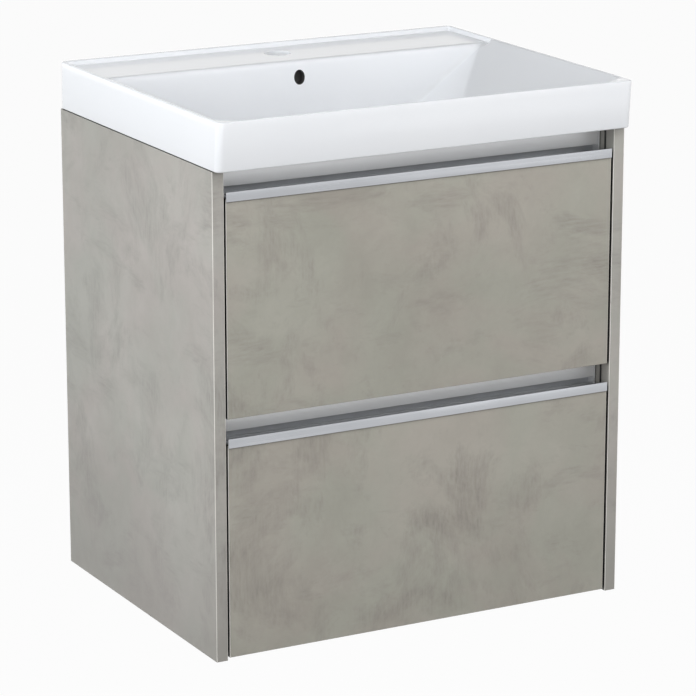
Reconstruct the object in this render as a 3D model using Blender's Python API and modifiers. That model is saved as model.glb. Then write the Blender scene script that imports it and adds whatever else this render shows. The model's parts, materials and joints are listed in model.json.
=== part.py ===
"""Wall-hung bathroom vanity: a two-drawer cabinet with recessed grips and a washbasin on top.

Metres, +Z up. The origin is on the wall, in the middle of the hanging rail's back face. The front
faces -Y. Inside this file, depths are measured out from the wall and heights up from the bottom edge
of the side panels; the empty that carries every part turns those heights into world heights.
"""

import math

import bpy
import bmesh
from mathutils import Matrix, Vector

# Cabinet
WIDTH = 0.600
DEPTH = 0.459
HEIGHT = 0.6385
BOARD = 0.016
FIT = 0.0003                  # clearance between pieces that touch
RAIL_HEIGHT = 0.578           # height of the wall rail's middle above the cabinet's bottom edge
RAIL_HALF = 0.277

# Fronts
FRONT_DEPTH = 0.458           # front face of both drawer fronts
SIDE_GAP = 0.003              # between a front and the side panel beside it
UPPER_BOTTOM = 0.3192         # bottom edge of the upper front
LOWER_BOTTOM = 0.0030         # bottom edge of the lower front
UPPER_LIP = 0.5984            # bottom edge of the upper handle's lip
LOWER_LIP = 0.2818
LIP_HEIGHT = 0.0124
LIP_PROUD = 0.0018            # how far the lip's face stands in front of the drawer front
PROFILE_WALL = 0.0016

# Recessed grip channels, measured back from the fronts and from the lip's top edge
CHANNEL_SETBACK = 0.033
CHANNEL_RECESS = 0.014
CHANNEL_RISE = 0.0272
CHANNEL_BROW = -0.0008
CHANNEL_SILL = -0.0085
CHANNEL_FLOOR = -0.0132
CAP_THICK = 0.0026

# Washbasin
BASIN_HEIGHT = 0.0639
BASIN_DEPTH = 0.4795
BASIN_UNDER_DEPTH = 0.4738
BASIN_UNDER_WIDTH = 0.6010
BASIN_RIM = 0.005
BASIN_WALL = 0.009
BOWL_RUN = 1.45               # run of the sloping bowl walls for each unit of drop
BOWL_BACK = 0.1145            # depth where the tap deck ends and the bowl begins
BOWL_BACK_RUN = 0.10
BOWL_DEEP = 0.0997
DECK_DROP = 0.0063
BACK_LIP = 0.008
TAP_DEPTH = 0.052
TAP_RADIUS = 0.0175
DRAIN_DEPTH = 0.262
DRAIN_RADIUS = 0.023
BOSS_RADIUS = 0.036
OVERFLOW_HEIGHT = 0.6735
OVERFLOW_RADIUS = 0.0080

# Drawer boxes and runners
RUNNER_LENGTH = 0.400
RUNNER_BACK = 0.036
MIDDLE_LENGTH = 0.380
RUNNER_RISE = 0.025           # from the runner's underside to the drawer side's underside
SIDE_INSET = 0.0075           # from the side panel to the drawer side
SIDE_THICK = 0.0135
SIDE_GAUGE = 0.0012           # sheet of the hollow drawer sides
UPPER_RUNNER = 0.3300         # underside of the upper runners
LOWER_RUNNER = 0.0195
UPPER_SIDE_TOP = 0.4900
LOWER_SIDE_TOP = 0.2200
SIPHON_HALF = 0.115           # half width of the upper drawer's cut-out for the trap
SIPHON_DEPTH = 0.335
SIPHON_WALL = 0.012

INNER = WIDTH / 2 - BOARD
FRONT_HALF = INNER - SIDE_GAP
BACK_OF_FRONT = FRONT_DEPTH - BOARD
BASIN_UNDER = HEIGHT + FIT
BASIN_TOP = BASIN_UNDER + BASIN_HEIGHT
DRAWER_OUT = INNER - SIDE_INSET
DRAWER_IN = DRAWER_OUT - SIDE_THICK
DRAWER_BACK = RUNNER_BACK + 0.0015

COLOURS = {
    "concrete": ((0.40, 0.385, 0.345), 0.60, 0.0),
    "carcass": ((0.36, 0.345, 0.31), 0.60, 0.0),
    "ceramic": ((0.86, 0.87, 0.88), 0.08, 0.0),
    "aluminium": ((0.66, 0.67, 0.69), 0.32, 1.0),
    "cap": ((0.62, 0.63, 0.64), 0.45, 0.0),
    "rubber": ((0.012, 0.012, 0.012), 0.70, 0.0),
    "drawer_steel": ((0.115, 0.120, 0.125), 0.45, 0.6),
    "drawer_board": ((0.42, 0.42, 0.41), 0.65, 0.0),
    "zinc": ((0.56, 0.57, 0.58), 0.38, 1.0),
}


def clear_scene():
    for obj in list(bpy.data.objects):
        bpy.data.objects.remove(obj, do_unlink=True)


def new_collection(name):
    collection = bpy.data.collections.new(name)
    bpy.context.scene.collection.children.link(collection)
    return collection


def material_for(node, finish):
    colour, roughness, metallic = COLOURS[finish]
    material = bpy.data.materials.new(node + "_" + finish)
    material.use_nodes = True
    shader = material.node_tree.nodes["Principled BSDF"]
    shader.inputs["Base Color"].default_value = (*colour, 1.0)
    shader.inputs["Roughness"].default_value = roughness
    shader.inputs["Metallic"].default_value = metallic
    return material


def place(mesh, name, finish, frame):
    obj = bpy.data.objects.new(name, mesh)
    obj.parent = frame
    if finish is None:
        cutters.objects.link(obj)
        obj.hide_render = True
        obj.display_type = "WIRE"
    else:
        parts.objects.link(obj)
        mesh.materials.append(material_for(name, finish))
    return obj


def mesh_from(bm, name):
    bmesh.ops.recalc_face_normals(bm, faces=bm.faces)
    mesh = bpy.data.meshes.new(name)
    bm.to_mesh(mesh)
    bm.free()
    return mesh


def block(name, x, depth, height, finish, frame, round_edges=0.0):
    """A board or block between two values of x, of depth from the wall and of height."""
    bm = bmesh.new()
    bmesh.ops.create_cube(bm, size=1.0)
    size = Vector((x[1] - x[0], depth[1] - depth[0], height[1] - height[0]))
    middle = Vector((x[0] + x[1], -depth[0] - depth[1], height[0] + height[1])) / 2
    bmesh.ops.transform(bm, matrix=Matrix.Translation(middle) @ Matrix.Diagonal(size).to_4x4(), verts=bm.verts)
    obj = place(mesh_from(bm, name), name, finish, frame)
    if round_edges:
        bevel = obj.modifiers.new("edges", "BEVEL")
        bevel.width = round_edges
        bevel.segments = 2
    return obj


def tapered(name, top, bottom, finish, frame):
    """A block whose rectangle changes from top to bottom. Each is (half width, depths, height)."""
    bm = bmesh.new()
    bmesh.ops.create_cube(bm, size=1.0)
    for vert in bm.verts:
        half, depth, height = top if vert.co.z > 0 else bottom
        near = depth[1] if vert.co.y < 0 else depth[0]
        vert.co = Vector((math.copysign(half, vert.co.x), -near, height))
    return place(mesh_from(bm, name), name, finish, frame)


def rod(name, radius, start, end, finish, frame, stretch=1.0, segments=48):
    """A round bar between two points; stretch makes it oval, taller than wide."""
    axis = Vector(end) - Vector(start)
    bm = bmesh.new()
    bmesh.ops.create_cone(bm, cap_ends=True, segments=segments, radius1=radius, radius2=radius, depth=axis.length)
    turn = axis.to_track_quat("Z", "Y").to_matrix().to_4x4()
    oval = Matrix.Diagonal((1.0, stretch, 1.0, 1.0))
    middle = Matrix.Translation((Vector(start) + Vector(end)) / 2)
    bmesh.ops.transform(bm, matrix=middle @ turn @ oval, verts=bm.verts)
    mesh = mesh_from(bm, name)
    mesh.shade_smooth()
    mesh.set_sharp_from_angle(angle=math.radians(40))
    return place(mesh, name, finish, frame)


def extrusion(name, outline, span, along, finish, frame):
    """A flat outline drawn out between two values along X, Y (as depths) or Z.

    The outline's pairs are (depth, height) for X, (x, height) for Y and (x, depth) for Z.
    """
    curve = bpy.data.curves.new(name, "CURVE")
    curve.dimensions = "2D"
    curve.fill_mode = "BOTH"
    curve.extrude = (span[1] - span[0]) / 2
    spline = curve.splines.new("POLY")
    spline.points.add(len(outline) - 1)
    for point, (u, v) in zip(spline.points, outline):
        point.co = (u, v, 0, 1)
    spline.use_cyclic_u = True
    middle = (span[0] + span[1]) / 2
    turns = {
        "X": Matrix(((0, 0, 1, middle), (-1, 0, 0, 0), (0, 1, 0, 0), (0, 0, 0, 1))),
        "Y": Matrix(((1, 0, 0, 0), (0, 0, -1, -middle), (0, 1, 0, 0), (0, 0, 0, 1))),
        "Z": Matrix(((1, 0, 0, 0), (0, -1, 0, 0), (0, 0, 1, middle), (0, 0, 0, 1))),
    }
    drawn = bpy.data.objects.new(name + "_outline", curve)
    cutters.objects.link(drawn)
    graph = bpy.context.evaluated_depsgraph_get()
    flat = bpy.data.meshes.new_from_object(drawn.evaluated_get(graph))
    bm = bmesh.new()
    bm.from_mesh(flat)
    bmesh.ops.transform(bm, matrix=turns[along], verts=bm.verts)
    bmesh.ops.remove_doubles(bm, verts=bm.verts, dist=0.00001)
    bpy.data.objects.remove(drawn)
    bpy.data.curves.remove(curve)
    bpy.data.meshes.remove(flat)
    return place(mesh_from(bm, name), name, finish, frame)


def combine(obj, tool, operation):
    change = obj.modifiers.new(tool.name, "BOOLEAN")
    change.operation = operation
    change.solver = "EXACT"
    change.object = tool


def empty(name, location, parent=None):
    obj = bpy.data.objects.new(name, None)
    obj.location = location
    obj.parent = parent
    obj.empty_display_size = 0.05
    parts.objects.link(obj)
    return obj


def side_word(side):
    return "left" if side < 0 else "right"


def ordered(a, b):
    return (min(a, b), max(a, b))


# ---- cabinet body ----

def side_panels(frame):
    for side in (-1, 1):
        x = ordered(side * INNER, side * WIDTH / 2)
        block("side_panel_" + side_word(side), x, (0, DEPTH), (0, HEIGHT), "concrete", frame, 0.0006)


def carcass_boards(frame):
    x = (-INNER + FIT, INNER - FIT)
    block("bottom_panel", x, (0.0003, BACK_OF_FRONT - 0.002), (0, BOARD), "carcass", frame, 0.0004)
    block("rear_rail_bottom", x, (0, BOARD), (BOARD + FIT, BOARD + 0.080), "carcass", frame, 0.0004)
    block("rear_rail_top", x, (0.012, 0.012 + BOARD), (0.495, 0.550), "carcass", frame, 0.0004)
    channel_back = FRONT_DEPTH - CHANNEL_SETBACK - CHANNEL_RECESS - FIT
    depth = (channel_back - BOARD, channel_back)
    block("front_rail_top", x, depth, (0.585, 0.630), "carcass", frame, 0.0004)
    block("front_rail_middle", x, depth, (0.281, 0.3215), "carcass", frame, 0.0004)


def grip_channel(name, lip_bottom, frame):
    """C-shaped aluminium profile that closes the finger gap above a drawer, with a cap at each end."""
    top = lip_bottom + LIP_HEIGHT
    face = FRONT_DEPTH - CHANNEL_SETBACK
    back = face - CHANNEL_RECESS
    wall = PROFILE_WALL
    outline = [
        (face, top + CHANNEL_RISE),
        (face, top + CHANNEL_BROW),
        (back + wall, top + CHANNEL_BROW),
        (back + wall, top + CHANNEL_FLOOR + wall),
        (face - wall, top + CHANNEL_FLOOR + wall),
        (face - wall, top + CHANNEL_SILL),
        (face, top + CHANNEL_SILL),
        (face, top + CHANNEL_FLOOR),
        (back, top + CHANNEL_FLOOR),
        (back, top + CHANNEL_BROW + wall),
        (face - wall, top + CHANNEL_BROW + wall),
        (face - wall, top + CHANNEL_RISE),
    ]
    half = INNER - CAP_THICK - 2 * FIT
    extrusion(name, outline, (-half, half), "X", "aluminium", frame)
    for side in (-1, 1):
        x = ordered(side * (half + FIT), side * (INNER - FIT))
        height = (top + CHANNEL_FLOOR, top + CHANNEL_RISE)
        block(name + "_cap_" + side_word(side), x, (back, face), height, "cap", frame, 0.0003)


def edge_seals(frame):
    """Rubber lip on each side panel, just behind the drawer fronts."""
    depth = (BACK_OF_FRONT - 0.0047, BACK_OF_FRONT - 0.0022)
    for side in (-1, 1):
        x = ordered(side * (INNER - FIT), side * (INNER - 0.0016))
        block("edge_seal_" + side_word(side), x, depth, (BOARD + 0.001, HEIGHT - 0.001), "rubber", frame)


# ---- washbasin ----

def bowl_section(height, offset=0.0):
    """The bowl's half width and front and back depths at a height; offset moves its walls out."""
    drop = BASIN_TOP - height
    side_offset = offset * math.hypot(1, BOWL_RUN)
    back_offset = offset * math.hypot(1, BOWL_BACK_RUN)
    half = WIDTH / 2 - BASIN_RIM - BOWL_RUN * drop + side_offset
    front = BASIN_DEPTH - BASIN_RIM - BOWL_RUN * drop + side_offset
    back = BOWL_BACK + BOWL_BACK_RUN * drop - back_offset
    return (half, (back, front), height)


def washbasin(frame):
    floor = BASIN_TOP - BOWL_DEEP
    over = BASIN_TOP + 0.0004
    deck = BASIN_TOP - DECK_DROP
    top = (WIDTH / 2, (0, BASIN_DEPTH), BASIN_TOP)
    under = (BASIN_UNDER_WIDTH / 2, (0, BASIN_UNDER_DEPTH), BASIN_UNDER)
    basin = tapered("washbasin", top, under, "ceramic", frame)

    inset = BASIN_WALL + 0.0010
    void_half = BASIN_UNDER_WIDTH / 2 - inset
    void_top = (void_half, (inset, BASIN_DEPTH - 0.015), deck - BASIN_WALL)
    void_foot = (void_half, (inset, BASIN_UNDER_DEPTH - inset), BASIN_UNDER - 0.001)
    combine(basin, tapered("void_under_basin", void_top, void_foot, None, frame), "DIFFERENCE")

    shell_top = bowl_section(deck - 0.006, BASIN_WALL)
    shell_foot = bowl_section(floor, BASIN_WALL)
    shell_foot = (shell_foot[0] - 0.006, (shell_foot[1][0], shell_foot[1][1] - 0.006), floor - BASIN_WALL)
    combine(basin, tapered("bowl_shell", shell_top, shell_foot, None, frame), "UNION")

    boss = rod("drain_boss", BOSS_RADIUS, (0, -DRAIN_DEPTH, floor - 0.022), (0, -DRAIN_DEPTH, floor - 0.002),
               None, frame)
    combine(basin, boss, "UNION")
    duct_back = BOWL_BACK - BASIN_WALL - 0.012
    duct = block("overflow_duct", (-0.021, 0.021), (duct_back, BOWL_BACK), (floor - 0.020, deck - 0.010), None, frame)
    combine(basin, duct, "UNION")
    sump = block("overflow_sump", (-0.020, 0.020), (duct_back + 0.001, DRAIN_DEPTH), (floor - 0.0195, floor - 0.004),
                 None, frame)
    combine(basin, sump, "UNION")

    cavity = tapered("bowl_cavity", bowl_section(over), bowl_section(floor), None, frame)
    combine(basin, cavity, "DIFFERENCE")
    deck_top = (bowl_section(over)[0], (BACK_LIP, BOWL_BACK + 0.010), over)
    deck_foot = (bowl_section(deck)[0], (BACK_LIP + 0.0005, BOWL_BACK + 0.010), deck)
    combine(basin, tapered("deck_recess", deck_top, deck_foot, None, frame), "DIFFERENCE")

    tap = rod("tap_hole", TAP_RADIUS, (0, -TAP_DEPTH, deck - 0.03), (0, -TAP_DEPTH, over + 0.01), None, frame)
    combine(basin, tap, "DIFFERENCE")
    drain = rod("drain_hole", DRAIN_RADIUS, (0, -DRAIN_DEPTH, floor - 0.04), (0, -DRAIN_DEPTH, floor + 0.01),
                None, frame)
    combine(basin, drain, "DIFFERENCE")
    chimney = block("duct_bore", (-0.012, 0.012), (duct_back + 0.006, duct_back + 0.015),
                    (floor - 0.016, OVERFLOW_HEIGHT + 0.010), None, frame)
    combine(basin, chimney, "DIFFERENCE")
    tunnel = block("sump_bore", (-0.0115, 0.0115), (duct_back + 0.0065, DRAIN_DEPTH),
                   (floor - 0.0158, floor - 0.0092), None, frame)
    combine(basin, tunnel, "DIFFERENCE")
    eye = rod("overflow_eye", OVERFLOW_RADIUS, (0, -duct_back - 0.010, OVERFLOW_HEIGHT),
              (0, -BOWL_BACK - 0.012, OVERFLOW_HEIGHT), None, frame, stretch=1.25, segments=32)
    combine(basin, eye, "DIFFERENCE")


# ---- wall hanging ----

def wall_hanging(frame):
    """Steel rail screwed to the wall, and on each side panel a bracket whose hook drops behind it."""
    low = RAIL_HEIGHT - 0.018
    step = RAIL_HEIGHT + 0.0178
    high = RAIL_HEIGHT + 0.040
    gauge = 0.0018
    offset = 0.0065
    outline = [
        (0, low), (gauge, low), (gauge, step), (gauge + offset, step + offset), (gauge + offset, high),
        (offset, high), (offset, step + offset + 0.0007), (0, step + 0.0007),
    ]
    rail = extrusion("wall_rail", outline, (-RAIL_HALF, RAIL_HALF), "X", "zinc", frame)
    for side in (-1, 1):
        hole = rod("rail_hole_" + side_word(side), 0.0035, (side * 0.19, 0.01, RAIL_HEIGHT),
                   (side * 0.19, -0.01, RAIL_HEIGHT), None, frame, segments=24)
        combine(rail, hole, "DIFFERENCE")
    for side in (-1, 1):
        word = side_word(side)
        hanging_bracket(word, side, high, frame)


def hanging_bracket(word, side, rail_top, frame):
    gauge = 0.0016
    wall_side, front_side = 0.011, 0.052
    panel = INNER - FIT
    inward = panel - 0.020
    outline = [(side * panel, wall_side), (side * panel, front_side), (side * inward, front_side),
               (side * inward, front_side - gauge), (side * (panel - gauge), front_side - gauge),
               (side * (panel - gauge), wall_side)]
    bracket = extrusion("hanging_bracket_" + word, outline, (0.572, 0.632), "Z", "zinc", frame)
    screw_x = side * (panel - 0.0105)
    screw_height = rail_top - 0.010
    hole = rod("bracket_hole_" + word, 0.0045, (screw_x, -0.045, screw_height), (screw_x, -0.060, screw_height),
               None, frame, segments=24)
    combine(bracket, hole, "DIFFERENCE")
    hook_line = [
        (0.0440, rail_top - 0.022), (0.0440, rail_top + 0.0075), (0.0022, rail_top + 0.0075),
        (0.0022, rail_top - 0.010), (0.0056, rail_top - 0.010), (0.0056, rail_top + 0.0015),
        (0.0125, rail_top + 0.0015), (0.0125, rail_top - 0.022),
    ]
    hook_x = ordered(screw_x - 0.002, screw_x + 0.002)
    extrusion("hanging_hook_" + word, hook_line, hook_x, "X", "zinc", frame)
    rod("bracket_adjuster_" + word, 0.0038, (screw_x, -0.0443, screw_height), (screw_x, -0.0560, screw_height),
        "zinc", frame, segments=24)


# ---- runners ----

RUNNER_FIXED = [(0.3, 0), (24, 0), (24, 7), (22.6, 7), (22.6, 1.4), (1.7, 1.4), (1.7, 36), (0.3, 36)]
RUNNER_MIDDLE = [(5, 3), (19.5, 3), (19.5, 15), (18, 15), (18, 4.5), (6.5, 4.5), (6.5, 15), (5, 15)]
RUNNER_DRAWER = [(3, 10), (4.4, 10), (4.4, 22.6), (20.3, 22.6), (20.3, 10), (21.7, 10), (21.7, 24), (3, 24)]


def runner_member(name, section, side, underside, depth, frame):
    """One member of a runner. The section is in millimetres from the side panel and the underside."""
    outline = [(side * (INNER - u / 1000), underside + v / 1000) for u, v in section]
    return extrusion(name, outline, depth, "Y", "zinc", frame)


def runners(level, underside, cabinet, drawer):
    front = RUNNER_BACK + RUNNER_LENGTH
    for side in (-1, 1):
        word = side_word(side)
        runner_member(level + "_runner_cabinet_" + word, RUNNER_FIXED, side, underside,
                      (RUNNER_BACK, front), cabinet)
        slide = empty(level + "_runner_slide_" + word, (side * INNER, 0, underside), cabinet)
        carriage = runner_member(level + "_runner_middle_" + word, RUNNER_MIDDLE, side, underside,
                                 (RUNNER_BACK + 0.005, RUNNER_BACK + 0.005 + MIDDLE_LENGTH), slide)
        carriage.matrix_parent_inverse = Matrix.Translation(slide.location).inverted()
        runner_member(level + "_runner_drawer_" + word, RUNNER_DRAWER, side, underside,
                      (DRAWER_BACK, front), drawer)


# ---- drawers ----

def drawer_front(level, bottom, lip_bottom, frame):
    board_top = lip_bottom + 0.0042
    block(level + "_front_panel", (-FRONT_HALF, FRONT_HALF), (BACK_OF_FRONT, FRONT_DEPTH), (bottom, board_top),
          "concrete", frame, 0.0006)


def handle_profile(level, lip_bottom, frame):
    """Aluminium strip over the front's top edge: a lip in front, a web on top and a leg behind."""
    face = FRONT_DEPTH + LIP_PROUD
    lip_back = FRONT_DEPTH + FIT
    leg_face = BACK_OF_FRONT - FIT
    leg_back = leg_face - 0.0015
    web = lip_bottom + 0.0045
    lip_top = lip_bottom + LIP_HEIGHT
    leg_foot = lip_bottom - 0.022
    outline = [
        (face, lip_bottom), (lip_back, lip_bottom), (lip_back, web), (leg_face, web), (leg_face, leg_foot),
        (leg_back, leg_foot), (leg_back, web + 0.0017), (lip_back, web + 0.0017), (lip_back, lip_top), (face, lip_top),
    ]
    extrusion(level + "_handle_profile", outline, (-FRONT_HALF, FRONT_HALF), "X", "aluminium", frame)


def drawer_sides(level, underside, top, frame):
    foot = underside + RUNNER_RISE
    for side in (-1, 1):
        word = side_word(side)
        hollow = SIDE_GAUGE
        wall_line = [
            (side * DRAWER_OUT, foot), (side * DRAWER_OUT, top - 0.002), (side * (DRAWER_OUT - 0.002), top),
            (side * (DRAWER_IN + 0.002), top), (side * DRAWER_IN, top - 0.002), (side * DRAWER_IN, foot),
            (side * (DRAWER_IN + hollow), foot), (side * (DRAWER_IN + hollow), top - 0.002 - hollow),
            (side * (DRAWER_OUT - hollow), top - 0.002 - hollow), (side * (DRAWER_OUT - hollow), foot),
        ]
        depth = (DRAWER_BACK, BACK_OF_FRONT - 0.0005)
        extrusion(level + "_drawer_side_" + word, wall_line, depth, "Y", "drawer_steel", frame)
        inner = DRAWER_IN - FIT
        corner = BACK_OF_FRONT - FIT
        gauge = 0.0014
        outline = [(side * inner, corner), (side * (inner - 0.020), corner), (side * (inner - 0.020), corner - gauge),
                   (side * (inner - gauge), corner - gauge), (side * (inner - gauge), corner - 0.024),
                   (side * inner, corner - 0.024)]
        lift = foot + 0.025
        extrusion(level + "_front_bracket_" + word, outline, (lift, lift + 0.060), "Z", "zinc", frame)


def bottom_height(underside):
    foot = underside + RUNNER_RISE + 0.002
    return (foot, foot + BOARD)


def upper_drawer_box(frame):
    drawer_sides("upper", UPPER_RUNNER, UPPER_SIDE_TOP, frame)
    foot, floor = bottom_height(UPPER_RUNNER)
    half = DRAWER_IN - FIT
    front = BACK_OF_FRONT - FIT
    outline = [(-half, DRAWER_BACK), (-half, front), (half, front), (half, DRAWER_BACK),
               (SIPHON_HALF, DRAWER_BACK), (SIPHON_HALF, SIPHON_DEPTH), (-SIPHON_HALF, SIPHON_DEPTH),
               (-SIPHON_HALF, DRAWER_BACK)]
    extrusion("upper_drawer_bottom", outline, (foot, floor), "Z", "drawer_board", frame)
    outer = SIPHON_HALF + SIPHON_WALL
    ring = [(-outer, DRAWER_BACK), (-outer, SIPHON_DEPTH + SIPHON_WALL), (outer, SIPHON_DEPTH + SIPHON_WALL),
            (outer, DRAWER_BACK), (SIPHON_HALF, DRAWER_BACK), (SIPHON_HALF, SIPHON_DEPTH),
            (-SIPHON_HALF, SIPHON_DEPTH), (-SIPHON_HALF, DRAWER_BACK)]
    height = (floor + FIT, UPPER_SIDE_TOP - 0.010)
    extrusion("siphon_surround", ring, height, "Z", "drawer_board", frame)
    for side in (-1, 1):
        x = ordered(side * (outer + FIT), side * half)
        block("upper_drawer_back_" + side_word(side), x, (DRAWER_BACK, DRAWER_BACK + BOARD), height, "drawer_board",
              frame, 0.0005)


def lower_drawer_box(frame):
    drawer_sides("lower", LOWER_RUNNER, LOWER_SIDE_TOP, frame)
    foot, floor = bottom_height(LOWER_RUNNER)
    half = DRAWER_IN - FIT
    block("lower_drawer_bottom", (-half, half), (DRAWER_BACK, BACK_OF_FRONT - FIT), (foot, floor), "drawer_board",
          frame, 0.0005)
    height = (floor + FIT, LOWER_SIDE_TOP - 0.010)
    block("lower_drawer_back", (-half, half), (DRAWER_BACK, DRAWER_BACK + BOARD), height, "drawer_board",
          frame, 0.0005)


# ---- assembly ----

clear_scene()
parts = new_collection("bathroom_vanity")
cutters = new_collection("cutters")
cabinet = empty("cabinet_frame", (0, 0, -RAIL_HEIGHT))
upper_slide = empty("upper_drawer_slide", (0, 0, 0), cabinet)
lower_slide = empty("lower_drawer_slide", (0, 0, 0), cabinet)

side_panels(cabinet)
carcass_boards(cabinet)
grip_channel("grip_channel_top", UPPER_LIP, cabinet)
grip_channel("grip_channel_middle", LOWER_LIP, cabinet)
edge_seals(cabinet)
washbasin(cabinet)
wall_hanging(cabinet)

drawer_front("upper", UPPER_BOTTOM, UPPER_LIP, upper_slide)
handle_profile("upper", UPPER_LIP, upper_slide)
upper_drawer_box(upper_slide)
runners("upper", UPPER_RUNNER, cabinet, upper_slide)

drawer_front("lower", LOWER_BOTTOM, LOWER_LIP, lower_slide)
handle_profile("lower", LOWER_LIP, lower_slide)
lower_drawer_box(lower_slide)
runners("lower", LOWER_RUNNER, cabinet, lower_slide)
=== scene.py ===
import json
import math

import bmesh
import bpy
import numpy as np
from mathutils import Matrix, Vector

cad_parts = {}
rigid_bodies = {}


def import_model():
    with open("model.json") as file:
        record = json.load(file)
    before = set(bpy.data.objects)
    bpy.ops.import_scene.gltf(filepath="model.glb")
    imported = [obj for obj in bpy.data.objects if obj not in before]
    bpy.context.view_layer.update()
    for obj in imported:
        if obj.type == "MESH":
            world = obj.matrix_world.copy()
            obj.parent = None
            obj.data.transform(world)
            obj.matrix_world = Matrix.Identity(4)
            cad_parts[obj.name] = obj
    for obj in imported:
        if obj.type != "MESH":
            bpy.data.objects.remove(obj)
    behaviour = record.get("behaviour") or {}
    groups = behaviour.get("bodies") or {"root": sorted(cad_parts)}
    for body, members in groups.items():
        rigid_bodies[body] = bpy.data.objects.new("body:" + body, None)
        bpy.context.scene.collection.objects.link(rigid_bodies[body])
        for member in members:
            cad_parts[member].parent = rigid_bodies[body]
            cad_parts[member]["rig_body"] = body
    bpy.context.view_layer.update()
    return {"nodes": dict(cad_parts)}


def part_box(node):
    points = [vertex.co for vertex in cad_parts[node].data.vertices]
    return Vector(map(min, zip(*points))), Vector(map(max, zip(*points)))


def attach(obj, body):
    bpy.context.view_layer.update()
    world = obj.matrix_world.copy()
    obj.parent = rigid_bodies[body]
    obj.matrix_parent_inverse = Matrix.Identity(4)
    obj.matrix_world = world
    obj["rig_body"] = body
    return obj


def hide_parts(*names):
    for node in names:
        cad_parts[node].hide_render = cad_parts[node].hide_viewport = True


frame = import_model()
print("frame loaded:", len(frame["nodes"]), "nodes")


studioCamera = {
    "lens": 175.1,
    "sensor": 36,
    "place": (-2.0804, -4.1084, 0.9342),
    "pitch": 15.129,        # degrees down from level
    "heading": 28.361,      # degrees round from straight on
    "clip": (0.1, 60),
}


def makeCamera():
    data = bpy.data.cameras.new("studioCamera")
    data.lens = studioCamera["lens"]
    data.sensor_width = studioCamera["sensor"]
    data.clip_start, data.clip_end = studioCamera["clip"]
    camera = bpy.data.objects.new("studioCamera", data)
    camera.location = studioCamera["place"]
    tilt = math.radians(90 - studioCamera["pitch"])
    camera.rotation_euler = (tilt, 0, -math.radians(studioCamera["heading"]))
    bpy.context.scene.collection.objects.link(camera)
    bpy.context.scene.camera = camera


makeCamera()
print("camera placed")


# node helpers

def plug(tree, socket, value):
    # a link from another node, or a plain value
    if isinstance(value, bpy.types.NodeSocket):
        tree.links.new(value, socket)
    else:
        socket.default_value = value


def addNode(tree, kind, sockets=None, **settings):
    node = tree.nodes.new(kind)
    for key, value in settings.items():
        setattr(node, key, value)
    for key, value in (sockets or {}).items():
        plug(tree, node.inputs[key], value)
    return node


def newGroup(name, takes, gives):
    group = bpy.data.node_groups.new(name, "ShaderNodeTree")
    for label, kind, value in takes:
        socket = group.interface.new_socket(name=label, in_out="INPUT", socket_type="NodeSocket" + kind)
        if value is not None:
            socket.default_value = value
    for label, kind in gives:
        group.interface.new_socket(name=label, in_out="OUTPUT", socket_type="NodeSocket" + kind)
    start = group.nodes.new("NodeGroupInput")
    end = group.nodes.new("NodeGroupOutput")
    return group, start.outputs, end.inputs


def placeGroup(tree, group, sockets):
    return addNode(tree, "ShaderNodeGroup", sockets, node_tree=group).outputs


def mathNode(tree, operation, first, second):
    return addNode(tree, "ShaderNodeMath", {0: first, 1: second}, operation=operation).outputs[0]


def addUp(tree, *weighted):
    total = None
    for value, weight in weighted:
        part = mathNode(tree, "MULTIPLY", value, weight)
        total = part if total is None else mathNode(tree, "ADD", total, part)
    return total


def noise(tree, vector, scale, detail, roughness, distortion=0.0):
    node = addNode(tree, "ShaderNodeTexNoise", {
        "Vector": vector,
        "Scale": scale,
        "Detail": detail,
        "Roughness": roughness,
        "Distortion": distortion,
    })
    return node.outputs["Fac"]


def stretched(tree, vector, scale):
    return addNode(tree, "ShaderNodeMapping", {"Vector": vector, "Scale": scale}).outputs[0]


def remap(tree, value, low, high, toLow=0.0, toHigh=1.0):
    node = addNode(tree, "ShaderNodeMapRange", {
        "Value": value, "From Min": low, "From Max": high, "To Min": toLow, "To Max": toHigh})
    return node.outputs[0]


def blendColour(tree, factor, first, second):
    first, second = ((*one, 1.0) if isinstance(one, tuple) else one for one in (first, second))
    return addNode(tree, "ShaderNodeMix", {0: factor, 6: first, 7: second}, data_type="RGBA").outputs[2]


def objectPoint(tree):
    return addNode(tree, "ShaderNodeTexCoord").outputs["Object"]


def startFinish(name, constants):
    material = bpy.data.materials.new(name)
    material.use_nodes = True
    tree = material.node_tree
    shader = tree.nodes["Principled BSDF"]
    for key, value in constants.items():
        shader.inputs[key].default_value = value
    return material, tree, shader


def bumpInto(tree, shader, height, strength, distance):
    node = addNode(tree, "ShaderNodeBump", {"Height": height, "Strength": strength, "Distance": distance})
    tree.links.new(node.outputs[0], shader.inputs["Normal"])


# effects that several finishes share

trowelMarks = {
    # scale, detail, roughness, distortion and weight of each layer of cloud
    "clouds": ((4.6, 4.0, 0.55, 0.3, 0.50), (19.0, 6.0, 0.62, 0.5, 0.36), (120.0, 4.0, 0.6, 0.0, 0.14)),
    "cloudRange": (0.37, 0.63),
    # where the pattern starts, how its lines are stretched, the patches' range and stretch
    "upright": ((0.0, 0.0, 0.0), (240.0, 240.0, 40.0), (0.51, 0.66), (1.0, 1.0, 0.75)),
    "across": ((3.1, 1.7, 4.3), (36.0, 36.0, 250.0), (0.53, 0.70), (0.6, 0.6, 1.3)),
    "rubbed": ((7.7, 5.2, 2.6), (110.0, 110.0, 60.0), (0.55, 0.75), (1.0, 1.0, 1.0)),
    "lineRange": (0.30, 0.66, 0.3, 1.0),
    "tint": (6.5, 4.0, 0.55, 0.4),
}


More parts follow.
